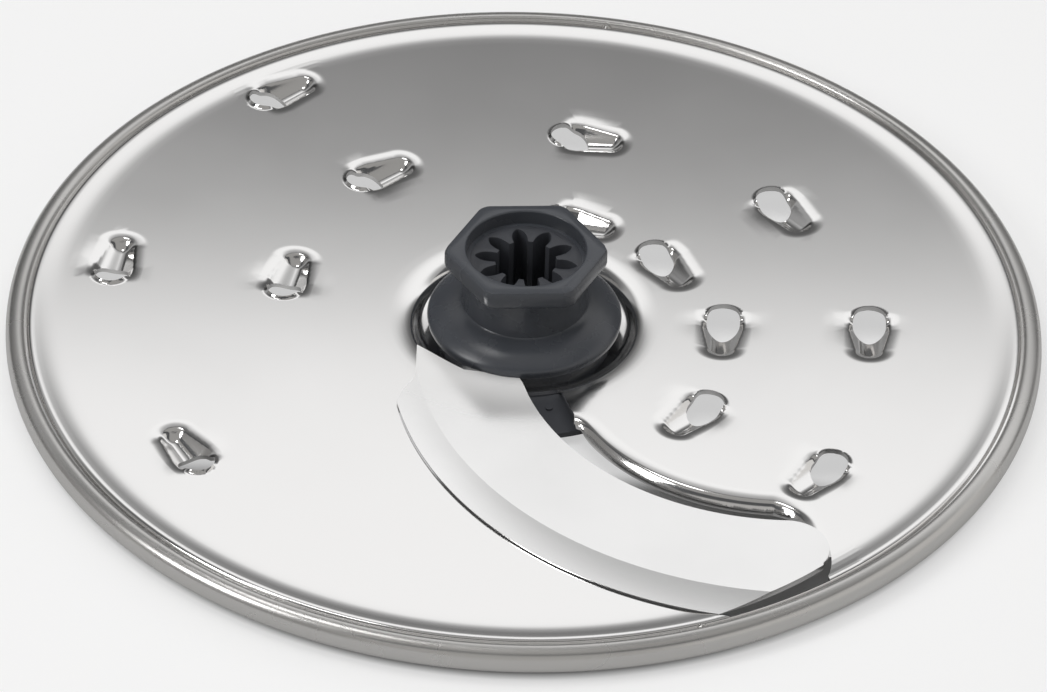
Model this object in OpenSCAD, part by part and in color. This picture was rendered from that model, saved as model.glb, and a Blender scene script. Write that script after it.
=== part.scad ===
// Reversible slicing and shredding disc of a food processor.
// The slicing side is up. The origin is on the axis, at the level the disc rests on.
// +X is to the right, +Y away from the blade, +Z up. Millimetres.

/* [Disc] */
// Diameter over the rim
disc_d = 180; // [178:1:182]
// Thickness of the pressed steel plate
plate_t = 0.8; // [0.7:0.1:0.9]
// Height of the plate's upper face above the resting surface
plate_z = 5.5; // [5.5:0.1:6]
// Depth of the collar pressed round the hub
collar_drop = 2.2; // [2:0.1:2.2]
// Radius of the hole that the hub passes through
centre_hole_r = 11.6; // [11.4:0.1:12]

/* [Shredding teeth] */
// Width of a tooth's mouth
mouth_w = 5.8; // [5.7:0.1:6]
// Length of a tooth's mouth
mouth_l = 6.6; // [6.5:0.1:7]
// Depth of the pressed scoop under the plate
scoop_depth = 2.2; // [2:0.1:2.4]
// Length of the scoop's ramp from the mouth to the plate
ramp_l = 7.2; // [7:0.1:7.6]

/* [Slicing blade] */
// Thickness of the ground blade
blade_t = 1.1; // [1:0.1:1.2]
// Gap under the blade that a slice passes through
blade_lift = 0.3; // [0.2:0.1:0.4]
// Radius of the cutting edge
edge_r = 69; // [68.5:0.5:69]
// Radius of the rear edge
rear_r = 46.4; // [46:0.1:47]
// Radius at which the ground bevel starts
bevel_r = 66.1; // [66:0.1:66.4]
// Fall of the bevel for each millimetre of its width
bevel_fall = 0.165; // [0.15:0.005:0.165]

/* [Hub] */
// Height of the hub's top face above the plate
hub_h = 15.4; // [15:0.1:15.6]
// Width across the flats of the hexagonal head
head_af = 25.2; // [25:0.1:25.4]
// Height of the hexagonal head
head_h = 3.7; // [3.6:0.1:3.9]
// Radius of the skirt's rim
skirt_r = 16.9; // [16.8:0.1:17]
// Radius of the recess in the top face
recess_r = 10.4; // [10.3:0.1:10.5]
// Depth of the recess in the top face
recess_h = 2.7; // [2.6:0.1:2.8]
// Radius of the flange under the plate
flange_r = 22.5; // [22:0.5:23]
// Radius of the lug that carries the blade's root
lug_r = 28.5; // [27:0.5:29]

/* [Drive sleeve] */
// Outer radius of the sleeve
sleeve_r = 9.7; // [9.7:0.1:9.8]
// Radius inside the spline's teeth
spline_r = 5.3; // [5.2:0.1:5.4]
// Reach of the spline's grooves
groove_reach = 8.9; // [8.8:0.1:9]
// Width of a spline groove
groove_w = 2.2; // [2:0.1:2.2]
// Number of spline grooves
groove_count = 10; // [9:1:10]

/* [Hidden] */

disc_r = disc_d / 2;
fine = 180;
medium = 64;
far = 200;

// Plan of the blade and of the opening under it: centres of their arcs
edge_centre = [46, -10];
rear_centre = [45, -8];
slot_centre = [44, -10.4];
slot_r = 38.3;
edge_gap = 0.1;
blade_end_r = 67.4;
opening_end_r = 86;
slot_flange_drop = 2.2;
bevel_centre = [47.1, -7];
bevel_reach = 8;
blade_end_centre = [4.2, -17.3];
blade_corner = [45.2, -61.4];
blade_corner_r = 7;
opening_corner = [37.4, -62.9];
opening_corner_r = 15.2;

// Shredding teeth: distance from the axis and angle of each, along a spiral
tooth_radii = [29, 29.5, 34.5, 38.5, 42.5, 48, 53, 56, 60, 64.5, 68.5, 73, 77.5];
tooth_angles = [71, 33, -3.5, -40.5, 166, 123, 78.5, 35.5, -1.5, -38.5, 214, 169.5, 125];
mouth_shift = 3.4;
lip_h = 0.7;
lip_t = 0.7;
scoop_r = mouth_w / 2 + plate_t;
scoop_start = mouth_shift - mouth_l / 2 + 0.4;
ramp_tilt = atan(scoop_depth / ramp_l);

// Screws under the hub and tack welds in the groove of the rim
screw_ring_r = 13.2;
screw_count = 4;
screw_shank_r = 1.2;
screw_hole_r = 1.25;
screw_head_r = 2.3;
screw_head_h = 0.9;
screw_sink = 1.2;
tack_angles = [-69, 81];
tack_r = 0.75;
tab_at = [49.4, -60.2];
tab_end = [54.6, -57.2];
tab_r = 2.2;
tab_t = 0.8;
lower_recess_h = 1.4;
head_turn = 3.5;
head_chamfer_w = 1.2;
head_chamfer_tilt = 34;
groove_turn = 28.5;
flange_t = 1;
boss_r = 19;
pip_at = [4.7, -21.1];
pip_r = 0.6;

// Upper face of the plate: distance from the axis, height over the plate's level
function plate_top() = [
    [centre_hole_r, -collar_drop], [17.9, -collar_drop], [18.4, -collar_drop + 0.25],
    [19.8, -0.5], [20.7, -0.12], [22.6, 0], [disc_r - 9, 0], [disc_r - 6.4, 0.15], [disc_r - 4.8, 0.4],
    [disc_r - 4.2, 0.25], [disc_r - 3.9, -0.5], [disc_r - 1.5, -0.5]
];

function dropped(points, drop) =
    [for (i = [len(points) - 1 : -1 : 0]) [points[i][0], points[i][1] - drop]];

// Rolled rim: inset from the rim's radius, height over the plate's level
rim_outside = [[3.3, -0.5], [3.3, 0.2], [2.9, 0.6], [2.4, 0.75], [1.6, 0.55], [0.8, -0.1],
               [0.3, -0.8], [0, -1.7], [0.05, -2.7], [0.4, -3.4], [1, -3.7], [1.7, -3.6]];
rim_inside = [[1.7, -3.1], [1.1, -3.15], [0.75, -2.6], [0.65, -1.7], [0.9, -1], [1.3, -0.4],
              [1.9, 0.05], [2.4, 0.15], [2.7, 0], [2.75, -0.5]];

function inset_points(points) = [for (p = points) [disc_r - p[0], p[1]]];

module at_tooth(i) {
    rotate([0, 0, tooth_angles[i]])
        translate([tooth_radii[i], 0, 0])
            children();
}

module mouth_cut() {
    half = mouth_w / 2;
    straight = mouth_l - mouth_w;
    translate([0, mouth_shift, -5]) {
        translate([0, straight / 2, 0])
            cylinder(r = half, h = 10, $fn = medium);
        translate([0, -straight / 2, 0])
            cylinder(r = half, h = 10, $fn = medium);
        translate([-half, -straight / 2, 0])
            cube([mouth_w, straight, 10]);
    }
}

// Raised lip round the outer half of a mouth
module mouth_lip() {
    outer = mouth_w / 2 + lip_t;
    straight = mouth_l - mouth_w;
    translate([0, mouth_shift + straight / 2, -plate_t])
        intersection() {
            cylinder(r = outer, h = plate_t + lip_h, $fn = medium);
            translate([-outer, 0, 0])
                cube([outer * 2, outer, plate_t + lip_h]);
        }
}

// A scoop is a tilted half tube, deep at the mouth and level with the plate at its end
module scoop_body(radius) {
    translate([0, scoop_start, scoop_r - scoop_depth - plate_t])
        rotate([90 - ramp_tilt, 0, 0])
            translate([0, 0, -scoop_r])
                cylinder(r = radius, h = ramp_l + scoop_r * 2, $fn = medium);
}

module scoop_space() {
    translate([-scoop_r, scoop_start - ramp_l, -scoop_depth - plate_t])
        cube([scoop_r * 2, ramp_l, scoop_depth + plate_t]);
}

module blade_opening() {
    intersection() {
        difference() {
            translate(edge_centre)
                circle(r = edge_r + edge_gap, $fn = fine);
            translate(slot_centre)
                circle(r = slot_r, $fn = fine);
            circle(r = 18, $fn = fine);
        }
        circle(r = opening_end_r, $fn = fine);
        polygon([[-16.5, -8], [-17, -21], [-24, -30], [-30, -90], [60, -90],
                 for (a = [-17 : 5 : 68]) opening_corner + opening_corner_r * [cos(a), sin(a)],
                 [38, -44], [9, -27.8], [9, -23.8], [14, -16], [0, -10]]);
    }
}

// Flange turned down along the outer side of the slot behind the blade
module slot_flange() {
    translate([0, 0, -slot_flange_drop])
        linear_extrude(height = slot_flange_drop)
            intersection() {
                translate(slot_centre)
                    difference() {
                        circle(r = slot_r, $fn = fine);
                        circle(r = slot_r - plate_t, $fn = fine);
                    }
                polygon([[5, -31], [5, -60], [44, -60], [44, -31]]);
            }
}

module cutting_plate() {
    teeth = [0 : len(tooth_radii) - 1];
    color("#c9cbcc")
        translate([0, 0, plate_z])
            difference() {
                union() {
                    difference() {
                        rotate_extrude($fn = fine)
                            polygon(concat(plate_top(), dropped(plate_top(), plate_t)));
                        for (i = teeth)
                            at_tooth(i)
                                intersection() {
                                    scoop_body(scoop_r);
                                    scoop_space();
                                }
                    }
                    slot_flange();
                    for (i = teeth)
                        at_tooth(i) {
                            mouth_lip();
                            intersection() {
                                scoop_body(scoop_r);
                                scoop_space();
                            }
                        }
                }
                for (i = teeth)
                    at_tooth(i) {
                        mouth_cut();
                        intersection() {
                            scoop_body(scoop_r - plate_t);
                            translate([0, 0, plate_t])
                                scoop_space();
                        }
                    }
                translate([0, 0, -5])
                    linear_extrude(height = 10)
                        blade_opening();
            }
}

module rim_ring() {
    color("#aeb0ae")
        translate([0, 0, plate_z])
            rotate_extrude($fn = fine)
                polygon(concat(inset_points(rim_outside), inset_points(rim_inside)));
}

module rim_tacks() {
    color("#9a9c9c")
        for (angle = tack_angles)
            rotate([0, 0, angle])
                translate([disc_r - 3.6, 0, plate_z - 0.2])
                    sphere(r = tack_r, $fn = 32);
}

module blade_outline() {
    difference() {
        intersection() {
            translate(edge_centre)
                circle(r = edge_r, $fn = fine);
            translate(blade_end_centre)
                circle(r = blade_end_r, $fn = fine);
            polygon([[-18.4, -10], [-10, -16.1], [0, -14], [20, -14],
                     for (a = [88 : -8 : -32]) blade_corner + blade_corner_r * [cos(a), sin(a)],
                     [51, -90], [-30, -90], [-22, -27], [-21.4, -24.2], [-20.4, -21.6],
                     [-18.8, -19.3], [-18.4, -17.2]]);
        }
        translate(rear_centre)
            circle(r = rear_r, $fn = fine);
        circle(r = 15.6, $fn = fine);
    }
}

// Section of the blade through the disc's axis: down into the collar at its root
module blade_section() {
    top = blade_lift + blade_t;
    polygon([[15.5, -collar_drop], [15.5, -0.45], [16.9, -0.42], [19.8, top], [far, top],
             [far, blade_lift], [20.8, blade_lift], [19, -1], [17.6, -collar_drop]]);
}

// Tab that holds the blade's outer end: a post through the opening and a foot under the plate
module end_tab() {
    translate([0, 0, plate_z - plate_t - tab_t]) {
        translate(tab_at)
            cylinder(r = tab_r, h = plate_t + tab_t + blade_lift + blade_t / 2, $fn = medium);
        hull() {
            translate(tab_at)
                cylinder(r = tab_r, h = tab_t, $fn = medium);
            translate(tab_end)
                cylinder(r = tab_r, h = tab_t, $fn = medium);
        }
    }
}

module slicing_blade() {
    color("#dedfe0") {
        difference() {
            intersection() {
                translate([0, 0, plate_z])
                    rotate_extrude($fn = fine)
                        blade_section();
                linear_extrude(height = plate_z * 2)
                    blade_outline();
            }
            translate([bevel_centre[0], bevel_centre[1], plate_z + blade_lift + blade_t])
                rotate_extrude($fn = fine)
                    polygon([[bevel_r, 0], [bevel_r + bevel_reach, -bevel_reach * bevel_fall],
                             [bevel_r + bevel_reach, 1], [bevel_r, 1]]);
        }
        end_tab();
    }
}

module hexagon(flats) {
    corner = 1.2;
    reach = flats / 2 / cos(30) - corner / cos(30);
    polygon([for (i = [0 : 5], step = [-30 : 10 : 30])
             [reach * cos(60 * i) + corner * cos(60 * i + step),
              reach * sin(60 * i) + corner * sin(60 * i + step)]]);
}

// Slopes the upper edge of each of the head's six sides
module head_chamfers() {
    for (i = [0 : 5])
        rotate([0, 0, 60 * i + 30])
            translate([head_af / 2 - head_chamfer_w, 0, hub_h])
                rotate([0, head_chamfer_tilt, 0])
                    translate([-head_af, -head_af, 0])
                        cube([head_af * 2, head_af * 2, head_h]);
}

module upper_hub() {
    head_z = hub_h - head_h;
    color("#44474c")
        translate([0, 0, plate_z])
            difference() {
                union() {
                    rotate_extrude($fn = fine)
                        polygon([[0, -collar_drop], [15.3, -collar_drop], [15.3, -0.4],
                                 [skirt_r - 0.3, -0.4], [skirt_r, -0.1], [skirt_r, 1],
                                 [16.6, 1.5], [15.9, 2.15], [14.6, 2.95], [12.8, 3.6],
                                 [11, 4.1], [10.9, head_z - 0.6], [11.4, head_z],
                                 [11.4, head_z + 1], [0, head_z + 1]]);
                    rotate([0, 0, head_turn])
                        difference() {
                            intersection() {
                                translate([0, 0, head_z])
                                    linear_extrude(height = head_h)
                                        hexagon(head_af);
                                rotate_extrude($fn = fine)
                                    polygon([[0, 0], [11.8, head_z], [14.8, head_z + 1.4],
                                             [14.8, hub_h], [0, hub_h]]);
                            }
                            head_chamfers();
                        }
                }
                translate([0, 0, hub_h - recess_h])
                    cylinder(r = recess_r, h = recess_h + 1, $fn = fine);
                translate([0, 0, -collar_drop - 1])
                    cylinder(r = sleeve_r, h = hub_h + collar_drop, $fn = fine);
                for (i = [0 : screw_count - 1])
                    rotate([0, 0, i * 360 / screw_count + 45])
                        translate([screw_ring_r, 0, -collar_drop - 1])
                            cylinder(r = screw_hole_r, h = 3.2, $fn = medium);
            }
}

module lower_hub() {
    top = plate_z - collar_drop - plate_t;
    color("#3c3f44")
        difference() {
            union() {
                cylinder(r = boss_r, h = top, $fn = fine);
                translate([0, 0, top - flange_t])
                    cylinder(r = flange_r, h = flange_t, $fn = fine);
                translate([0, 0, top - flange_t])
                    intersection() {
                        cylinder(r = lug_r, h = flange_t, $fn = fine);
                        linear_extrude(height = flange_t)
                            polygon([[0, 0], [-lug_r * 2, -lug_r], [-lug_r, -lug_r * 2],
                                     [lug_r, -lug_r * 2], [lug_r * 0.7, -lug_r]]);
                    }
                cylinder(r = centre_hole_r - 0.1, h = plate_z - collar_drop, $fn = fine);
                translate([pip_at[0], pip_at[1], top - flange_t])
                    cylinder(r = pip_r, h = flange_t + 0.3, $fn = 32);
            }
            translate([0, 0, -1])
                cylinder(r = recess_r, h = lower_recess_h + 1, $fn = fine);
            cylinder(r = sleeve_r, h = plate_z, $fn = fine);
            for (i = [0 : screw_count - 1])
                rotate([0, 0, i * 360 / screw_count + 45])
                    translate([screw_ring_r, 0, -1]) {
                        cylinder(r = screw_hole_r, h = plate_z, $fn = medium);
                        cylinder(r = screw_head_r + 0.2, h = screw_sink + 1, $fn = medium);
                    }
        }
}

module drive_sleeve() {
    low = lower_recess_h;
    high = plate_z + hub_h - recess_h;
    lobe = groove_w / 2;
    color("#2b2d31")
        difference() {
            translate([0, 0, low])
                cylinder(r = sleeve_r, h = high - low, $fn = fine);
            translate([0, 0, low - 1])
                cylinder(r = spline_r, h = high - low + 2, $fn = fine);
            for (i = [0 : groove_count - 1])
                rotate([0, 0, groove_turn + i * 360 / groove_count]) {
                    translate([0, -lobe, low - 1])
                        cube([groove_reach - lobe, groove_w, high - low + 2]);
                    translate([groove_reach - lobe, 0, low - 1])
                        cylinder(r = lobe, h = high - low + 2, $fn = 32);
                }
        }
}

module hub_screws() {
    color("#8d8f92")
        for (i = [0 : screw_count - 1])
            rotate([0, 0, i * 360 / screw_count + 45])
                translate([screw_ring_r, 0, screw_sink - screw_head_h])
                    difference() {
                        union() {
                            cylinder(r = screw_head_r, h = screw_head_h, $fn = medium);
                            cylinder(r = screw_shank_r, h = plate_z, $fn = medium);
                        }
                        for (turn = [0, 90])
                            rotate([0, 0, turn])
                                translate([-1.3, -0.25, -1])
                                    cube([2.6, 0.5, 1.6]);
                    }
}

cutting_plate();
rim_ring();
rim_tacks();
slicing_blade();
upper_hub();
lower_hub();
drive_sleeve();
hub_screws();
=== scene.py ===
from math import cos, pi, radians, sin

import bmesh
import bpy
import numpy as np
from mathutils import Matrix, Vector


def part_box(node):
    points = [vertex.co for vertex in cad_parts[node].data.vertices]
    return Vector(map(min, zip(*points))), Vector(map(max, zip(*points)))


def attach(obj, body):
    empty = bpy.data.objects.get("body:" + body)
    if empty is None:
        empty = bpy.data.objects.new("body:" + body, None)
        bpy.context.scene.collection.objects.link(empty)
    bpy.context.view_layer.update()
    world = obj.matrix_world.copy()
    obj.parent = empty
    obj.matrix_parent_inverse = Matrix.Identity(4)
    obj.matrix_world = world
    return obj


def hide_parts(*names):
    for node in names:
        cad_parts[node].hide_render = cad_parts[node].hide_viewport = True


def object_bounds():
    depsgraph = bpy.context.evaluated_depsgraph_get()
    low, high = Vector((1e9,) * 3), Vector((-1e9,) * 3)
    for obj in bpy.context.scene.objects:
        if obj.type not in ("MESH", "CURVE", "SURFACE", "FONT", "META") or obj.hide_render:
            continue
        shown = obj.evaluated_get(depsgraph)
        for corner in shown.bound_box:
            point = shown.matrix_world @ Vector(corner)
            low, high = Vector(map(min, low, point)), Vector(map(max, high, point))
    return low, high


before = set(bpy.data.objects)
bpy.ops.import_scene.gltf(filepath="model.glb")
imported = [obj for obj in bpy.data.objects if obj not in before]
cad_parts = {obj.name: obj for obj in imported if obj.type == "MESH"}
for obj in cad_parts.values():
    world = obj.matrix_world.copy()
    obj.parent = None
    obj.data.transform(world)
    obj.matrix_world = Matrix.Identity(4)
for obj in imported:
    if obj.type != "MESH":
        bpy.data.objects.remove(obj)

cad_low, cad_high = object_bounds()


# Camera: above and in front of the disc, looking down at the hub, very slightly rolled.
# The long lens keeps the disc's outline close to a plain ellipse.
VIEW_HEIGHT = radians(38.6)
VIEW_DISTANCE = 1.35
VIEW_ROLL = radians(1.6)
LENS = 267.1
AIM_FORWARD = -0.00785
RIM_CREST = 0.00075
rim_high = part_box("rim_ring")[1]
PLATE = rim_high[2] - RIM_CREST
RIM = rim_high[0]

camera_at = Vector((0, -VIEW_DISTANCE * cos(VIEW_HEIGHT), PLATE + VIEW_DISTANCE * sin(VIEW_HEIGHT)))
look = Vector((0, AIM_FORWARD, PLATE)) - camera_at
tilt = Vector((0, look.y, look.z)).angle(Vector((0, 0, -1)))
turn = Matrix.Rotation(tilt, 3, "X") @ Matrix.Rotation(VIEW_ROLL, 3, "Z")
bpy.ops.object.camera_add(location=camera_at, rotation=turn.to_euler())
camera = bpy.context.object
camera.data.lens = LENS
camera.data.sensor_width = 36
camera.data.clip_end = 20
bpy.context.scene.camera = camera
bpy.context.scene.view_settings.view_transform = "Standard"


# Studio: a plain white floor, a wall of light behind it, four reflectors and three soft lights.
# The wall is dark near the floor, so the polished plate shows dark towards its far edge
# and white near the camera, where it mirrors the wall's bright band.
FLOOR_WHITE = (0.42, 0.42, 0.42, 1)
FLOOR_GLOW = 0.52
# Painted shadow: under the blade the floor's glow drops to FLOOR_GLOW_IN_SHADE, where the disc would shade
# it.
FLOOR_GLOW_IN_SHADE = 0.03
FLOOR_GLOW_MIRRORED = 0.35
FLOOR_UNDER_DISC = -0.0001
# Edges of the painted shadow: it starts towards the front of the disc and stays inside the rim.
SHADE_STARTS, SHADE_FULL = -0.034, -0.04
SHADE_OUTER, SHADE_INNER = 0.089, 0.087


def floor_finish():
    """White paper that glows evenly, as if lit from below, with a painted shadow under the blade: there its
    glow is dimmed in a patch, where the disc would shade it.
    """
    material = bpy.data.materials.new("floor_white")
    material.use_nodes = True
    nodes = material.node_tree.nodes
    links = material.node_tree.links
    surface = nodes["Principled BSDF"]
    surface.inputs["Base Color"].default_value = FLOOR_WHITE
    surface.inputs["Roughness"].default_value = 0.9
    surface.inputs["Emission Color"].default_value = (1, 1, 1, 1)
    ray = nodes.new("ShaderNodeLightPath")
    place = nodes.new("ShaderNodeTexCoord")
    parts = nodes.new("ShaderNodeSeparateXYZ")
    reach = nodes.new("ShaderNodeVectorMath")
    reach.operation = "LENGTH"
    # Painted shadow under the blade: near and inside mark the patch in front and within the rim, and light
    # dims the floor's glow there.
    near = nodes.new("ShaderNodeMapRange")
    near.interpolation_type = "SMOOTHSTEP"
    near.inputs["From Min"].default_value = SHADE_STARTS
    near.inputs["From Max"].default_value = SHADE_FULL
    inside = nodes.new("ShaderNodeMapRange")
    inside.inputs["From Min"].default_value = SHADE_OUTER
    inside.inputs["From Max"].default_value = SHADE_INNER
    shade = nodes.new("ShaderNodeMath")
    shade.operation = "MULTIPLY"
    light = nodes.new("ShaderNodeMapRange")
    light.inputs["To Min"].default_value = FLOOR_GLOW
    light.inputs["To Max"].default_value = FLOOR_GLOW_IN_SHADE
    mirrored = nodes.new("ShaderNodeMath")
    mirrored.operation = "MULTIPLY_ADD"
    mirrored.inputs[1].default_value = FLOOR_GLOW_MIRRORED
    seen = nodes.new("ShaderNodeMath")
    seen.operation = "MULTIPLY"
    links.new(ray.outputs["Is Glossy Ray"], mirrored.inputs[0])
    links.new(ray.outputs["Is Camera Ray"], mirrored.inputs[2])
    links.new(place.outputs["Object"], parts.inputs[0])
    links.new(place.outputs["Object"], reach.inputs[0])
    links.new(parts.outputs["Y"], near.inputs["Value"])
    links.new(reach.outputs["Value"], inside.inputs["Value"])
    links.new(near.outputs[0], shade.inputs[0])
    links.new(inside.outputs[0], shade.inputs[1])
    links.new(shade.outputs[0], light.inputs["Value"])
    links.new(light.outputs[0], seen.inputs[0])
    links.new(mirrored.outputs[0], seen.inputs[1])
    links.new(seen.outputs[0], surface.inputs["Emission Strength"])
    return material


bpy.ops.mesh.primitive_plane_add(size=6, location=(0, 0, cad_low[2] + FLOOR_UNDER_DISC))
floor = bpy.context.object
floor.name = "floor"
floor.data.materials.append(floor_finish())

WALL_AT = 0.45
WALL_WIDE, WALL_HIGH = 2.6, 1.5
WALL_FADED_AT, WALL_FULL_AT = -0.36, -0.14
WALL_FADED = 0.35
WALL_TONES = [(0.04, 0.1), (0.14, 0.11), (0.2, 0.13), (0.25, 0.18), (0.284, 0.25), (0.304, 0.30),
              (0.321, 0.37), (0.339, 0.51), (0.358, 0.69), (0.375, 0.9), (0.39, 0.97), (0.42, 1.0),
              (0.56, 1.0), (0.7, 0.72), (0.85, 0.5), (1.1, 0.4), (1.4, 0.38)]


def wall_finish():
    """Light whose strength depends on the height above the floor, and fades to the left."""
    material = bpy.data.materials.new("wall_light")
    material.use_nodes = True
    nodes = material.node_tree.nodes
    links = material.node_tree.links
    nodes.clear()
    place = nodes.new("ShaderNodeTexCoord")
    parts = nodes.new("ShaderNodeSeparateXYZ")
    ramp = nodes.new("ShaderNodeFloatCurve")
    line = ramp.mapping.curves[0]
    for height, strength in WALL_TONES[1:-1]:
        line.points.new(height / WALL_HIGH, strength / WALL_HIGH)
    line.points[0].location = (0, WALL_TONES[0][1] / WALL_HIGH)
    line.points[-1].location = (1, WALL_TONES[-1][1] / WALL_HIGH)
    ramp.mapping.update()
    scaled = nodes.new("ShaderNodeMath")
    scaled.operation = "DIVIDE"
    scaled.inputs[1].default_value = WALL_HIGH
    full = nodes.new("ShaderNodeMath")
    full.operation = "MULTIPLY"
    full.inputs[1].default_value = WALL_HIGH
    fade = nodes.new("ShaderNodeMapRange")
    fade.inputs["From Min"].default_value = WALL_FADED_AT
    fade.inputs["From Max"].default_value = WALL_FULL_AT
    fade.inputs["To Min"].default_value = WALL_FADED
    fade.inputs["To Max"].default_value = 1
    faded = nodes.new("ShaderNodeMath")
    faded.operation = "MULTIPLY"
    glow = nodes.new("ShaderNodeEmission")
    result = nodes.new("ShaderNodeOutputMaterial")
    links.new(place.outputs["Object"], parts.inputs[0])
    links.new(parts.outputs["Z"], scaled.inputs[0])
    links.new(scaled.outputs[0], ramp.inputs["Value"])
    links.new(ramp.outputs[0], full.inputs[0])
    links.new(parts.outputs["X"], fade.inputs["Value"])
    links.new(full.outputs[0], faded.inputs[0])
    links.new(fade.outputs[0], faded.inputs[1])
    links.new(faded.outputs[0], glow.inputs["Strength"])
    links.new(glow.outputs[0], result.inputs["Surface"])
    return material


bpy.ops.mesh.primitive_plane_add(size=1, location=(0, WALL_AT, WALL_HIGH / 2), rotation=(pi / 2, 0, 0))
wall = bpy.context.object
wall.name = "wall"
wall.scale = (WALL_WIDE, WALL_HIGH, 1)
bpy.ops.object.transform_apply(location=True, rotation=True, scale=True)
wall.data.materials.append(wall_finish())
wall.visible_camera = False


def card(name, location, rotation, size, glow):
    """A plain reflector that only the disc sees, at a side, in front or above."""
    bpy.ops.mesh.primitive_plane_add(size=1, location=location, rotation=rotation)
    sheet = bpy.context.object
    sheet.name = name
    sheet.scale = (*size, 1)
    bpy.ops.object.transform_apply(location=True, rotation=True, scale=True)
    material = bpy.data.materials.new(name)
    material.use_nodes = True
    surface = material.node_tree.nodes["Principled BSDF"]
    surface.inputs["Base Color"].default_value = (0.1, 0.1, 0.1, 1)
    surface.inputs["Emission Color"].default_value = (1, 0.98, 0.95, 1)
    surface.inputs["Emission Strength"].default_value = glow
    sheet.data.materials.append(material)
    sheet.visible_camera = False


card("card_right", (1.3, -0.85, 0.55), (0, pi / 2, 0), (1.1, 2.6), 0.62)
card("card_left", (-1.3, -0.85, 0.55), (0, pi / 2, 0), (1.1, 2.6), 0.16)
card("card_front", (0, -2.1, 0.9), (pi / 2, 0, 0), (4, 1.8), 0.42)
card("card_above", (0, -0.35, 1.75), (0, 0, 0), (2.6, 1.5), 0.28)

world = bpy.data.worlds.new("studio")
bpy.context.scene.world = world
world.use_nodes = True
world.node_tree.nodes["Background"].inputs["Color"].default_value = (0.9, 0.92, 0.95, 1)
world.node_tree.nodes["Background"].inputs["Strength"].default_value = 0.09


def soft_light(name, location, size, power):
    """A broad light turned to the disc."""
    bpy.ops.object.light_add(type="AREA", location=location)
    light = bpy.context.object
    light.name = name
    light.data.shape = "RECTANGLE"
    light.data.size = size[0]
    light.data.size_y = size[1]
    light.data.energy = power
    light.rotation_euler = (-Vector(location)).to_track_quat("-Z", "Y").to_euler()
    return light


overhead = soft_light("overhead", (0, 0.1, 1.3), (1.6, 1.2), 9)
overhead.visible_glossy = False
soft_light("window", (-0.9, -0.35, 0.75), (0.35, 0.5), 4)
soft_light("softbox", (-0.36, 0.09, 1.08), (0.2, 0.26), 0.8)


# Cutting plate: a stainless blank, punched with thirteen mouths and the long opening for
# the blade, then pressed: a collar round the hub, a scoop and a lip at each mouth, and
# edges rolled down along the opening. It is polished all over.
MM = 0.001
SHEET = 0.8 * MM
COLLAR_DROP = 2.2 * MM
MOUTH_HALF = 2.9 * MM
MOUTH_LENGTH = 6.8 * MM
MOUTH_SHIFT = 3.4 * MM
TOOTH_RADII = (29, 29.5, 34.5, 38.5, 42.5, 48, 53, 56, 60, 64.5, 68.5, 73, 77.5)
TOOTH_ANGLES = (71, 33, -3.5, -40.5, 166, 123, 78.5, 35.5, -1.5, -38.5, 214, 169.5, 125)
SCOOP_START, SCOOP_END = 2, 7.6
SCOOP_HALF, SCOOP_TAPER = 3.6, 0.19
SCOOP_SHALLOW, SCOOP_FALL = 1.35, 0.17
SHOULDER_WIDE, SHOULDER_DEEP = 2.2, 0.34
LIP_REACH, LIP_HIGH = 2.85, 0.5
ROLL_WIDE, ROLL_DEEP = 1.3, 0.9
SAG_WIDE, SAG_DEEP = 3.4, 0.7
TOOTH_CUTS = 5
REACH = 4 * MM
REACH_MORE = 5 * MM
REACH_BETWEEN = 4.5 * MM
EDGE_CENTRE = Vector((46, -10)) * MM
EDGE_RADIUS = 69 * MM
EDGE_GAP = 0.1 * MM
REAR_CENTRE = Vector((45, -8)) * MM
REAR_RADIUS = 46.4 * MM
SLOT_CENTRE = Vector((44, -10.4)) * MM
SLOT_RADIUS = 38.3 * MM
OPENING_CORNER = (37.4, -62.9)
OPENING_CORNER_R = 15.2
OPENING_END_RADIUS = 86 * MM
HUB_CLEARANCE = 18 * MM


def start_edit(piece):
    """Selects a piece alone and opens it for editing."""
    bpy.ops.object.select_all(action="DESELECT")
    piece.select_set(True)
    bpy.context.view_layer.objects.active = piece
    bpy.ops.object.mode_set(mode="EDIT")


def end_edit():
    bpy.ops.object.mode_set(mode="OBJECT")


def turned(name, section, centre=(0, 0), segments=240):
    """Draws a ring at the first point of a section and extrudes it through the others."""
    radius, height = section[0]
    bpy.ops.object.select_all(action="DESELECT")
    bpy.ops.mesh.primitive_circle_add(vertices=segments, radius=radius, location=(0, 0, height))
    piece = bpy.context.object
    piece.name = name
    bpy.ops.object.transform_apply(location=True, rotation=True, scale=True)
    start_edit(piece)
    bpy.ops.mesh.select_all(action="SELECT")
    for (last_r, last_z), (next_r, next_z) in zip(section, section[1:]):
        bpy.ops.mesh.extrude_edges_move(TRANSFORM_OT_translate={"value": (0, 0, next_z - last_z)})
        grow = next_r / last_r
        bpy.ops.transform.resize(value=(grow, grow, 1), center_override=(0, 0, 0))
    bpy.ops.mesh.select_all(action="SELECT")
    bpy.ops.mesh.remove_doubles(threshold=1e-6)
    bpy.ops.mesh.normals_make_consistent(inside=False)
    bpy.ops.transform.translate(value=(centre[0], centre[1], 0))
    end_edit()
    return piece


def cut(piece, tool, way="DIFFERENCE"):
    """Cuts a piece with a tool, or keeps what they share, and removes the tool."""
    modifier = piece.modifiers.new("cut", "BOOLEAN")
    modifier.operation = way
    modifier.solver = "EXACT"
    modifier.object = tool
    bpy.ops.object.select_all(action="DESELECT")
    piece.select_set(True)
    bpy.context.view_layer.objects.active = piece
    bpy.ops.object.modifier_apply(modifier="cut")
    bpy.data.objects.remove(tool)


def post(radius, low, high, centre=(0, 0), sides=256):
    """A round tool standing from one height to another, at a centre in plan."""
    middle = (centre[0], centre[1], (low + high) / 2)
    bpy.ops.object.select_all(action="DESELECT")
    bpy.ops.mesh.primitive_cylinder_add(vertices=sides, radius=radius, depth=high - low, location=middle)
    return bpy.context.object


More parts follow.
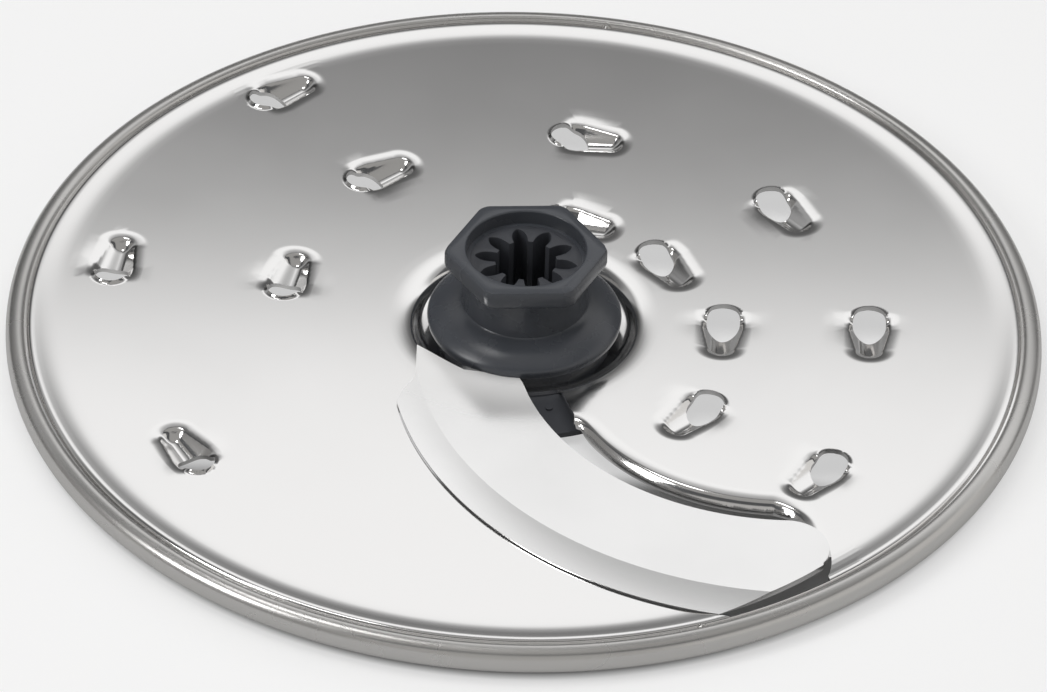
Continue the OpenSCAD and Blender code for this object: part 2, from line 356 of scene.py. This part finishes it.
def prism(outline, low, high):
    """A tool with straight walls, from the points of its outline in millimetres."""
    count = len(outline)
    mesh = bpy.data.meshes.new("prism")
    points = [(x * MM, y * MM, z) for z in (low, high) for x, y in outline]
    walls = [(i, (i + 1) % count, count + (i + 1) % count, count + i) for i in range(count)]
    caps = [tuple(reversed(range(count))), tuple(range(count, 2 * count))]
    mesh.from_pydata(points, [], walls + caps)
    tool = bpy.data.objects.new("prism", mesh)
    bpy.context.collection.objects.link(tool)
    return tool


def joined(tools):
    """Several tools made one, so that they cut together."""
    bpy.ops.object.select_all(action="DESELECT")
    for tool in tools:
        tool.select_set(True)
    bpy.context.view_layer.objects.active = tools[0]
    bpy.ops.object.join()
    return tools[0]


def mouth_tool(radius, angle):
    """A punch with round ends, standing where a tooth's mouth goes."""
    reach = (MOUTH_LENGTH - 2 * MOUTH_HALF) / 2
    arc = [radians(step) for step in range(0, 181, 10)]
    outline = [(MOUTH_HALF * cos(a), reach + MOUTH_HALF * sin(a)) for a in arc]
    outline += [(-MOUTH_HALF * cos(a), -reach - MOUTH_HALF * sin(a)) for a in arc]
    turn_by = radians(angle)
    placed = []
    for across, along in outline:
        out, round_by = radius * MM + across, MOUTH_SHIFT + along
        placed.append(((out * cos(turn_by) - round_by * sin(turn_by)) / MM,
                       (out * sin(turn_by) + round_by * cos(turn_by)) / MM))
    return prism(placed, PLATE - REACH, PLATE + REACH)


def arc_points(centre, radius, angles):
    """Points of an arc in plan, in millimetres."""
    return [(centre[0] + radius * cos(radians(a)), centre[1] + radius * sin(radians(a))) for a in angles]


def smooth(t):
    """A soft step from 0 to 1."""
    t = np.clip(t, 0, 1)
    return t * t * t * (t * (t * 6 - 15) + 10)


def tooth_form(across, along):
    """Height round a mouth: a lip at its far half, and a scoop with a round end at its near half."""
    side = SCOOP_HALF - SCOOP_TAPER * np.clip(along - SCOOP_START, 0, SCOOP_END - SCOOP_START)
    from_line = np.hypot(across, 1.15 * np.maximum(along - SCOOP_END, 0))
    inside = np.clip(1 - (from_line / side) ** 2, 0, 1)
    depth = (SCOOP_SHALLOW + SCOOP_FALL * (8.5 - np.clip(along, SCOOP_START, 8.5))) * inside ** 1.15
    shoulder = np.clip(1 - (from_line - side) / SHOULDER_WIDE, 0, 1)
    shoulder = shoulder * (from_line > side) + (from_line <= side)
    started = smooth((along + 2.6) / 4)
    beyond = np.maximum(np.hypot(across, np.minimum(along + 0.5, 0)) - LIP_REACH, 0)
    lip = LIP_HIGH * (1 - smooth(beyond / 0.6)) * smooth((0.9 - along) / 2.6)
    return lip - (depth + SHOULDER_DEEP * shoulder ** 2) * started


def slot_distance(x, y):
    """How far points lie outside the opening's inner edge: a long arc, then one round its corner."""
    along_arc = SLOT_RADIUS / MM - np.hypot(x - SLOT_CENTRE.x / MM, y - SLOT_CENTRE.y / MM)
    round_corner = np.hypot(x - OPENING_CORNER[0], y - OPENING_CORNER[1]) - OPENING_CORNER_R
    return np.where(x > 43.1, round_corner, along_arc)


def from_mouths(x, y):
    """Where points lie from each mouth in turn: outwards from the axis, and along the scoop."""
    for radius, angle in zip(TOOTH_RADII, TOOTH_ANGLES):
        c, s = cos(radians(angle)), sin(radians(angle))
        yield x * c + y * s - radius, MOUTH_SHIFT / MM - (-x * s + y * c)


def pressed_height(x, y):
    """Height that pressing adds to the flat sheet at each point, in millimetres."""
    height = np.zeros_like(x)
    for across, along in from_mouths(x, y):
        near = (np.abs(across) < 6) & (np.abs(along - 4) < 10)
        height[near] += tooth_form(across[near], along[near])
    from_slot = slot_distance(x, y)
    rolled = smooth((-25 - y) / 7) * smooth((53 - x) / 11) * smooth((y + 66) / 6) * (from_slot > -0.6)
    roll = ROLL_DEEP * np.clip(1 - from_slot / ROLL_WIDE, 0, 1.3) ** 1.6
    sag = SAG_DEEP * np.clip(1 - from_slot / SAG_WIDE, 0, 1) ** 2
    return height - (roll + sag) * rolled


def near_pressing(x, y):
    """Whether a face lies where a tooth is pressed and needs a finer mesh."""
    return any(abs(across) < 5.4 and abs(along - 3.5) < 8.6 for across, along in from_mouths(x, y))


def near_opening(x, y):
    """Whether a face lies where the opening's edge is rolled down."""
    return -84 < y < -20 and -1.5 < slot_distance(x, y) < 4.4


def refine(piece, wanted, cuts):
    """Divides the level faces that the test picks by their place in plan."""
    start_edit(piece)
    bpy.ops.mesh.select_mode(type="FACE")
    bpy.ops.mesh.select_all(action="DESELECT")
    shape = bmesh.from_edit_mesh(piece.data)
    for face in shape.faces:
        middle = face.calc_center_median()
        flat = abs(face.normal.z) > 0.9
        face.select = bool(flat and wanted(middle.x / MM, middle.y / MM))
    bmesh.update_edit_mesh(piece.data)
    bpy.ops.mesh.subdivide(number_cuts=cuts)
    end_edit()


collar = [(11.6, -2.2), (16.5, -2.2), (17.4, -2.18), (17.9, -2.1), (18.3, -1.92), (18.65, -1.62),
          (19, -1.24), (19.4, -0.86), (19.8, -0.56), (20.3, -0.32), (20.9, -0.17), (21.7, -0.07),
          (22.6, -0.015), (23.6, 0)]
flat_rings = [(radius, 0) for radius in np.arange(25.6, 80.1, 2.0)]
edge_rise = [(81, 0), (82, 0.03), (83, 0.1), (84, 0.22), (84.8, 0.34), (85.4, 0.4), (85.8, 0.36),
             (86.05, 0.2), (86.2, -0.1), (86.35, -0.4), (86.6, -0.5), (88.4, -0.5)]
top_line = collar + flat_rings + edge_rise
section = [(r * MM, PLATE + z * MM) for r, z in top_line]
section += [(r * MM, PLATE + z * MM - SHEET) for r, z in reversed(top_line)]
section.append(section[0])

plate = turned("cutting_plate_pressed", section)
refine(plate, lambda x, y: near_pressing(x, y) or near_opening(x, y), TOOTH_CUTS)

opening = post(EDGE_RADIUS + EDGE_GAP, PLATE - REACH, PLATE + REACH, EDGE_CENTRE)
cut(opening, post(SLOT_RADIUS, PLATE - REACH_MORE, PLATE + REACH_MORE, SLOT_CENTRE))
cut(opening, post(HUB_CLEARANCE, PLATE - REACH_MORE, PLATE + REACH_MORE))
cut(opening, post(OPENING_END_RADIUS, PLATE - REACH_MORE, PLATE + REACH_MORE), "INTERSECT")
OPENING_ENDS = [(-16.5, -8), (-17, -21), (-24, -30), (-30, -90), (60, -90),
                *arc_points(OPENING_CORNER, OPENING_CORNER_R, range(-17, 69, 5)),
                (38, -44), (9, -27.8), (9, -23.8), (14, -16), (0, -10)]
cut(opening, prism(OPENING_ENDS, PLATE - REACH_BETWEEN, PLATE + REACH_BETWEEN), "INTERSECT")
cut(plate, opening)
cut(plate, joined([mouth_tool(r, a) for r, a in zip(TOOTH_RADII, TOOTH_ANGLES)]))


def lifted(piece, rise):
    """Moves each point of a piece up by what a rule gives for its place in plan."""
    spots = np.empty(len(piece.data.vertices) * 3)
    piece.data.vertices.foreach_get("co", spots)
    spots = spots.reshape(-1, 3)
    spots[:, 2] += rise(spots[:, 0], spots[:, 1])
    piece.data.vertices.foreach_set("co", spots.ravel())
    piece.data.update()


lifted(plate, lambda x, y: pressed_height(x / MM, y / MM) * MM)
bpy.ops.object.shade_smooth_by_angle(angle=radians(40))


def surface_clouds():
    """Shared effect: soft clouding of a surface, as two masks of different grain."""
    group = bpy.data.node_groups.new("surface_clouds", "ShaderNodeTree")
    group.interface.new_socket("Scale", in_out="INPUT", socket_type="NodeSocketFloat")
    group.interface.new_socket("Broad", in_out="OUTPUT", socket_type="NodeSocketFloat")
    group.interface.new_socket("Fine", in_out="OUTPUT", socket_type="NodeSocketFloat")
    ends = group.nodes.new("NodeGroupInput"), group.nodes.new("NodeGroupOutput")
    place = group.nodes.new("ShaderNodeTexCoord")
    broad = group.nodes.new("ShaderNodeTexNoise")
    broad.inputs["Detail"].default_value = 5
    finer = group.nodes.new("ShaderNodeMath")
    finer.operation = "MULTIPLY"
    finer.inputs[1].default_value = 14
    fine = group.nodes.new("ShaderNodeTexNoise")
    fine.inputs["Detail"].default_value = 3
    group.links.new(place.outputs["Object"], broad.inputs["Vector"])
    group.links.new(place.outputs["Object"], fine.inputs["Vector"])
    group.links.new(ends[0].outputs["Scale"], broad.inputs["Scale"])
    group.links.new(ends[0].outputs["Scale"], finer.inputs[0])
    group.links.new(finer.outputs[0], fine.inputs["Scale"])
    group.links.new(broad.outputs["Fac"], ends[1].inputs["Broad"])
    group.links.new(fine.outputs["Fac"], ends[1].inputs["Fine"])
    return group


def turning_lines():
    """Shared effect: fine lines round the disc's axis, as a mask and a normal."""
    group = bpy.data.node_groups.new("turning_lines", "ShaderNodeTree")
    group.interface.new_socket("Depth", in_out="INPUT", socket_type="NodeSocketFloat")
    group.interface.new_socket("Mask", in_out="OUTPUT", socket_type="NodeSocketFloat")
    group.interface.new_socket("Normal", in_out="OUTPUT", socket_type="NodeSocketVector")
    ends = group.nodes.new("NodeGroupInput"), group.nodes.new("NodeGroupOutput")
    place = group.nodes.new("ShaderNodeTexCoord")
    parts = group.nodes.new("ShaderNodeSeparateXYZ")
    flat = group.nodes.new("ShaderNodeCombineXYZ")
    reach = group.nodes.new("ShaderNodeVectorMath")
    reach.operation = "LENGTH"
    line = group.nodes.new("ShaderNodeCombineXYZ")
    lines = group.nodes.new("ShaderNodeTexNoise")
    lines.inputs["Scale"].default_value = 5200
    lines.inputs["Detail"].default_value = 2
    bump = group.nodes.new("ShaderNodeBump")
    bump.inputs["Distance"].default_value = 0.00002
    group.links.new(place.outputs["Object"], parts.inputs[0])
    group.links.new(parts.outputs["X"], flat.inputs["X"])
    group.links.new(parts.outputs["Y"], flat.inputs["Y"])
    group.links.new(flat.outputs[0], reach.inputs[0])
    group.links.new(reach.outputs["Value"], line.inputs["X"])
    group.links.new(parts.outputs["Z"], line.inputs["Z"])
    group.links.new(line.outputs[0], lines.inputs["Vector"])
    group.links.new(lines.outputs["Fac"], ends[1].inputs["Mask"])
    group.links.new(lines.outputs["Fac"], bump.inputs["Height"])
    group.links.new(ends[0].outputs["Depth"], bump.inputs["Strength"])
    group.links.new(bump.outputs[0], ends[1].inputs["Normal"])
    return group


CLOUDS = surface_clouds()
LINES = turning_lines()


def finish_nodes(name):
    """A new material, its tree and its shader."""
    material = bpy.data.materials.new(name)
    material.use_nodes = True
    tree = material.node_tree
    return material, tree, tree.nodes["Principled BSDF"]


def use_group(tree, group, **values):
    """Places a shared effect in a material with its own values."""
    node = tree.nodes.new("ShaderNodeGroup")
    node.node_tree = group
    for socket, value in values.items():
        node.inputs[socket].default_value = value
    return node


def spread_value(tree, mask, low, high):
    """A value that runs from low to high with a mask."""
    node = tree.nodes.new("ShaderNodeMapRange")
    node.inputs["From Min"].default_value = 0.3
    node.inputs["From Max"].default_value = 0.7
    node.inputs["To Min"].default_value = low
    node.inputs["To Max"].default_value = high
    tree.links.new(mask, node.inputs["Value"])
    return node.outputs[0]


def mixed_colour(tree, mask, first, second):
    """A colour that runs from the first to the second with a mask."""
    node = tree.nodes.new("ShaderNodeMix")
    node.data_type = "RGBA"
    node.inputs["A"].default_value = (*first, 1)
    node.inputs["B"].default_value = (*second, 1)
    tree.links.new(mask, node.inputs["Factor"])
    return node.outputs["Result"]


def steel_finish(name, colour, roughness, spread, haze, lines=0.0, metal=1.0):
    """Steel: clouded polish, slight haze, and fine lines round the axis."""
    material, tree, surface = finish_nodes(name)
    clouds = use_group(tree, CLOUDS, Scale=38)
    rough = spread_value(tree, clouds.outputs["Broad"], roughness - spread, roughness + spread)
    dull = tuple(c * (1 - haze) for c in colour)
    tree.links.new(rough, surface.inputs["Roughness"])
    tree.links.new(mixed_colour(tree, clouds.outputs["Broad"], dull, colour), surface.inputs["Base Color"])
    surface.inputs["Metallic"].default_value = metal
    turned_lines = use_group(tree, LINES, Depth=lines)
    tree.links.new(turned_lines.outputs["Normal"], surface.inputs["Normal"])
    return material


plate.data.materials.append(
    steel_finish("polished_steel", (0.88, 0.872, 0.865), roughness=0.11, spread=0.02, haze=0.03, lines=0.02))
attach(plate, "root")
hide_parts("cutting_plate")


# Rim: a hoop rolled from stainless strip and closed over the plate's edge. It is satin all
# round, with fine turning lines, and its outer wall stands nearly upright.
def curve_through(points, steps=6):
    """Rounds a line of points with a smooth curve that passes through each of them."""
    ends = [points[0]] + list(points) + [points[-1]]
    line = []
    for a, b, c, d in zip(ends, ends[1:], ends[2:], ends[3:]):
        for step in range(steps):
            t = step / steps
            line.append(tuple(0.5 * (2 * q + (r - p) * t + (2 * p - 5 * q + 4 * r - s) * t * t
                                     + (3 * q - p - 3 * r + s) * t ** 3)
                              for p, q, r, s in zip(a, b, c, d)))
    line.append(points[-1])
    return line


rim_outside = [(3.3, -0.48), (3.2, 0.15), (2.9, 0.55), (2.3, 0.74), (1.5, 0.62), (0.75, 0.22),
               (0.22, -0.5), (0.01, -1.5), (0.03, -2.6), (0.35, -3.35), (1, -3.69), (1.7, -3.6)]
rim_inside = [(1.7, -3.1), (1.1, -3.15), (0.75, -2.6), (0.65, -1.7), (0.9, -1), (1.3, -0.4),
              (1.9, 0.05), (2.4, 0.15), (2.7, 0), (2.75, -0.48)]
rim_line = curve_through(rim_outside, 4) + curve_through(rim_inside, 2)
section = [(RIM - inset * MM, PLATE + z * MM) for inset, z in rim_line]
section.append(section[0])
rim = turned("rim_hoop", section, segments=360)
bpy.ops.object.shade_smooth_by_angle(angle=radians(50))
rim.data.materials.append(steel_finish(
    "satin_steel", (0.64, 0.63, 0.615), roughness=0.27, spread=0.04, haze=0.06, lines=0.12, metal=0.85))
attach(rim, "root")
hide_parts("rim_ring")


# Blade: a crescent ground from hardened strip, with a broad bevel down to its cutting edge.
# Its root dips into the collar under the hub's skirt; its other end stands on a tab whose
# foot is welded under the plate.
BLADE_THICK = 1.1 * MM
BLADE_LIFT = 0.3 * MM
BEVEL_CENTRE = Vector((47.1, -7)) * MM
BEVEL_RADIUS = 66.1 * MM
BEVEL_SLOPE, BEVEL_HOLLOW = 0.205, 0.0075
BEVEL_TOOL_WIDE = 8
ROOT_RADIUS = 15.6 * MM
ROOT_DIP = 2.2 * MM
DIP_FROM, DIP_WIDE = 15.2 * MM, 5.6 * MM
BLADE_CORNER, BLADE_CORNER_R = (45.2, -61.4), 7
INNERMOST = 0.038
END_CENTRE = Vector((4.2, -17.3)) * MM
END_RADIUS = 67.4 * MM
TAB_AT = Vector((49.4, -60.2)) * MM
TAB_END = Vector((54.6, -57.2)) * MM
TAB_ACROSS = Vector((-3, 5.2)).normalized()
TAB_HALF = 2.2
TAB_THICK = 0.8 * MM
under = PLATE + BLADE_LIFT
over = under + BLADE_THICK
flat_top = [(radius, over) for radius in np.arange(INNERMOST, EDGE_RADIUS, MM)] + [(EDGE_RADIUS, over)]
section = flat_top + [(radius, under) for radius, height in reversed(flat_top)] + [flat_top[0]]
blade = turned("slicing_blade_ground", section, EDGE_CENTRE, 360)
grind = [(BEVEL_RADIUS + wide * MM, over - (BEVEL_SLOPE - BEVEL_HOLLOW * wide) * wide * MM)
         for wide in np.linspace(0, BEVEL_TOOL_WIDE, 12)]
grind += [(BEVEL_RADIUS + BEVEL_TOOL_WIDE * MM, over + MM), (BEVEL_RADIUS, over + MM), grind[0]]
cut(blade, turned("grind", grind, BEVEL_CENTRE, 360))
cut(blade, post(END_RADIUS, PLATE - REACH_MORE, PLATE + REACH_MORE, END_CENTRE), "INTERSECT")
cut(blade, post(REAR_RADIUS, PLATE - REACH_MORE, PLATE + REACH_MORE, REAR_CENTRE))
cut(blade, post(ROOT_RADIUS, PLATE - REACH_MORE, PLATE + REACH_MORE))
BLADE_ENDS = [(-18.4, -10), (-10, -16.1), (0, -14), (20, -14),
              *arc_points(BLADE_CORNER, BLADE_CORNER_R, range(88, -33, -8)), (51, -90), (-30, -90),
              (-22, -27), (-21.4, -24.2), (-20.4, -21.6), (-18.8, -19.3), (-18.4, -17.2)]
cut(blade, prism(BLADE_ENDS, PLATE - REACH_BETWEEN, PLATE + REACH_BETWEEN), "INTERSECT")

foot_top = PLATE - SHEET
foot_base = foot_top - TAB_THICK
foot = [(TAB_AT / MM + side * TAB_ACROSS).to_tuple() for side in (TAB_HALF, -TAB_HALF)]
foot += [(TAB_END / MM + side * TAB_ACROSS).to_tuple() for side in (-TAB_HALF, TAB_HALF)]
tab = post(TAB_HALF * MM, foot_base, under + BLADE_THICK / 2, TAB_AT)
cut(tab, prism(foot, foot_base, foot_top), "UNION")
cut(tab, post(TAB_HALF * MM, foot_base, foot_top, TAB_END), "UNION")
cut(blade, tab, "UNION")


def root_dip(x, y):
    """How far the root sinks into the collar, growing towards the axis."""
    return -ROOT_DIP * np.clip(1 - (np.hypot(x, y) - DIP_FROM) / DIP_WIDE, 0, 1) ** 1.6


lifted(blade, root_dip)
bpy.ops.object.shade_smooth_by_angle(angle=radians(7))


MATT_WITHIN, BRIGHT_BEYOND = 19 * MM, 36 * MM
ROOT_METAL, BLADE_METAL = 0.1, 0.94


def blade_finish():
    """Ground steel, bright along the blade and blasted to a matt white round its root."""
    material = steel_finish(
        "blade_steel", (0.94, 0.936, 0.932), roughness=0.2, spread=0.03, haze=0.02, metal=BLADE_METAL)
    nodes = material.node_tree.nodes
    links = material.node_tree.links
    place = nodes.new("ShaderNodeTexCoord")
    reach = nodes.new("ShaderNodeVectorMath")
    reach.operation = "LENGTH"
    bright = nodes.new("ShaderNodeMapRange")
    bright.interpolation_type = "SMOOTHSTEP"
    bright.inputs["From Min"].default_value = MATT_WITHIN
    bright.inputs["From Max"].default_value = BRIGHT_BEYOND
    bright.inputs["To Min"].default_value = ROOT_METAL
    bright.inputs["To Max"].default_value = BLADE_METAL
    links.new(place.outputs["Object"], reach.inputs[0])
    links.new(reach.outputs["Value"], bright.inputs["Value"])
    links.new(bright.outputs[0], nodes["Principled BSDF"].inputs["Metallic"])
    return material


blade.data.materials.append(blade_finish())
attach(blade, "root")
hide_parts("slicing_blade")


# Upper hub: one charcoal moulding, a flared skirt under a neck and a hexagonal head that the
# fingers hold. The head's corners and rims are rounded, and it has a round recess on top.
def plastic_finish(name, colour, roughness, grain):
    """Moulded plastic: a fine grain in the surface and slightly uneven gloss."""
    material, tree, surface = finish_nodes(name)
    clouds = use_group(tree, CLOUDS, Scale=120)
    rough = spread_value(tree, clouds.outputs["Broad"], roughness - 0.05, roughness + 0.05)
    deep, pale = tuple(c * 0.9 for c in colour), tuple(c * 1.1 for c in colour)
    tree.links.new(rough, surface.inputs["Roughness"])
    tree.links.new(mixed_colour(tree, clouds.outputs["Broad"], deep, pale), surface.inputs["Base Color"])
    bump = tree.nodes.new("ShaderNodeBump")
    bump.inputs["Strength"].default_value = grain
    bump.inputs["Distance"].default_value = 0.00005
    tree.links.new(clouds.outputs["Fine"], bump.inputs["Height"])
    tree.links.new(bump.outputs[0], surface.inputs["Normal"])
    return material


HUB_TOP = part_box("upper_hub")[1][2]
HEAD_HIGH = 3.7 * MM
HEAD_FLATS = 25.2 * MM
HEAD_TURN = 33.5
NECK = 10.9 * MM
RECESS = 10.4 * MM
RECESS_DEEP = 2.7 * MM
SLEEVE = 9.7 * MM
SPIGOT = 15.3 * MM
LEVEL = 1e-5
head_base = HUB_TOP - HEAD_HIGH

skirt_line = [(15.3, -2.2), (15.3, -0.4), (16.4, -0.4)] + curve_through(
    [(16.5, -0.38), (16.75, -0.2), (16.85, 0.3), (16.9, 0.9), (16.75, 1.35), (16.2, 1.9),
     (15.3, 2.55), (14, 3.2), (12.6, 3.65), (11.6, 3.9), (11.15, 4.05)], 5) + [(10.95, 4.25)]
section = [(r * MM, PLATE + z * MM) for r, z in skirt_line]
section += [(NECK, head_base - 0.0012), (NECK + 0.0002, head_base - 0.0004),
            (NECK + 0.0008, head_base + 0.0001),
            (NECK + 0.0008, head_base + 0.002), (SLEEVE - 0.0004, head_base + 0.002),
            (SLEEVE - 0.0004, PLATE - COLLAR_DROP), (SPIGOT, PLATE - COLLAR_DROP)]
hub = turned("hub_skirt_and_head", section)

bpy.ops.object.select_all(action="DESELECT")
bpy.ops.mesh.primitive_cylinder_add(
    vertices=6, radius=HEAD_FLATS / 2 / cos(pi / 6), depth=HEAD_HIGH,
    location=(0, 0, head_base + HEAD_HIGH / 2), rotation=(0, 0, radians(HEAD_TURN)))
head = bpy.context.object
bpy.ops.object.transform_apply(location=True, rotation=True, scale=True)


def bevel_edges(piece, wanted, offset, segments):
    """Rounds the edges that the test picks by their two ends."""
    start_edit(piece)
    bpy.ops.mesh.select_mode(type="EDGE")
    bpy.ops.mesh.select_all(action="DESELECT")
    shape = bmesh.from_edit_mesh(piece.data)
    for edge in shape.edges:
        edge.select = bool(wanted(edge.verts[0].co, edge.verts[1].co))
    bmesh.update_edit_mesh(piece.data)
    bpy.ops.mesh.bevel(offset=offset, segments=segments, affect="EDGES")
    end_edit()


bevel_edges(head, lambda a, b: abs(a.z - b.z) > HEAD_HIGH / 2, 0.0016, 6)
bevel_edges(head, lambda a, b: min(a.z, b.z) > HUB_TOP - LEVEL, 0.0011, 2)
bevel_edges(head, lambda a, b: max(a.z, b.z) < head_base + LEVEL, 0.0008, 4)
cut(hub, head, "UNION")
cut(hub, post(RECESS, HUB_TOP - RECESS_DEEP, HUB_TOP + 2 * MM))
cut(hub, post(SLEEVE, PLATE - REACH, HUB_TOP + MM))
bevel_edges(hub, lambda a, b: abs(a.z - HUB_TOP) < LEVEL and abs(b.z - HUB_TOP) < LEVEL
            and max(a.xy.length, b.xy.length) < RECESS + 1e-4, 0.0003, 3)
bpy.ops.object.shade_smooth_by_angle(angle=radians(30))
hub.data.materials.append(plastic_finish("hub_plastic", (0.06, 0.065, 0.075), roughness=0.26, grain=0.03))
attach(hub, "root")
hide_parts("upper_hub")


# Drive sleeve: a separate dark moulding pressed into the hub. Its bore is splined with ten
# grooves, shaped like petals, that the drive stem's ribs slide into.
sleeve_low, sleeve_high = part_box("drive_sleeve")
GROOVES = 10
SPLINE = 5.3 * MM
GROOVE_TURN = 28.5
PETAL = [(5.2, 1.2), (6.2, 1.28), (7.1, 1.22), (7.8, 1.0), (8.4, 0.62), (8.75, 0.28), (8.9, 0)]
sleeve = post(SLEEVE - 0.00002, sleeve_low[2], sleeve_high[2])
sleeve.name = "splined_sleeve"
bpy.ops.object.transform_apply(location=True, rotation=True, scale=True)


def spline_outline():
    """The bore's outline: petals that are widest near their middle, with bore between them."""
    outline = []
    for number in range(GROOVES):
        middle = radians(GROOVE_TURN) + number * 2 * pi / GROOVES
        petal = [(x, -y) for x, y in PETAL] + [(x, y) for x, y in reversed(PETAL[:-1])]
        outline += [(x * cos(middle) - y * sin(middle), x * sin(middle) + y * cos(middle))
                    for x, y in petal]
        for share in (0.45, 0.55):
            between = middle + share * 2 * pi / GROOVES
            outline.append((SPLINE / MM * cos(between), SPLINE / MM * sin(between)))
    return outline


cut(sleeve, prism(spline_outline(), sleeve_low[2] - MM, sleeve_high[2] + MM))
bevel_edges(sleeve, lambda a, b: abs(a.z - sleeve_high[2]) < LEVEL and abs(b.z - sleeve_high[2]) < LEVEL
            and max(a.xy.length, b.xy.length) < SLEEVE - 0.3 * MM, 0.00012, 2)
bpy.ops.object.shade_smooth_by_angle(angle=radians(40))
sleeve.data.materials.append(
    plastic_finish("sleeve_plastic", (0.044, 0.047, 0.055), roughness=0.45, grain=0.04))
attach(sleeve, "root")
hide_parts("drive_sleeve")


# Lower hub, its four screws and the tack welds. The designed solids already have the right
# shapes, so they stay and get finishes: dark moulded plastic, dull steel and weld metal.
def dress(node, material):
    """Gives a designed solid its finish."""
    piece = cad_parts[node]
    piece.data.materials.clear()
    piece.data.materials.append(material)


dress("lower_hub", plastic_finish("lower_hub_plastic", (0.055, 0.058, 0.066), roughness=0.42, grain=0.15))
dress("hub_screws", steel_finish("screw_steel", (0.6, 0.6, 0.6), roughness=0.35, spread=0.06, haze=0.1))
dress("rim_tacks", steel_finish("weld_steel", (0.66, 0.65, 0.63), roughness=0.32, spread=0.06, haze=0.1))
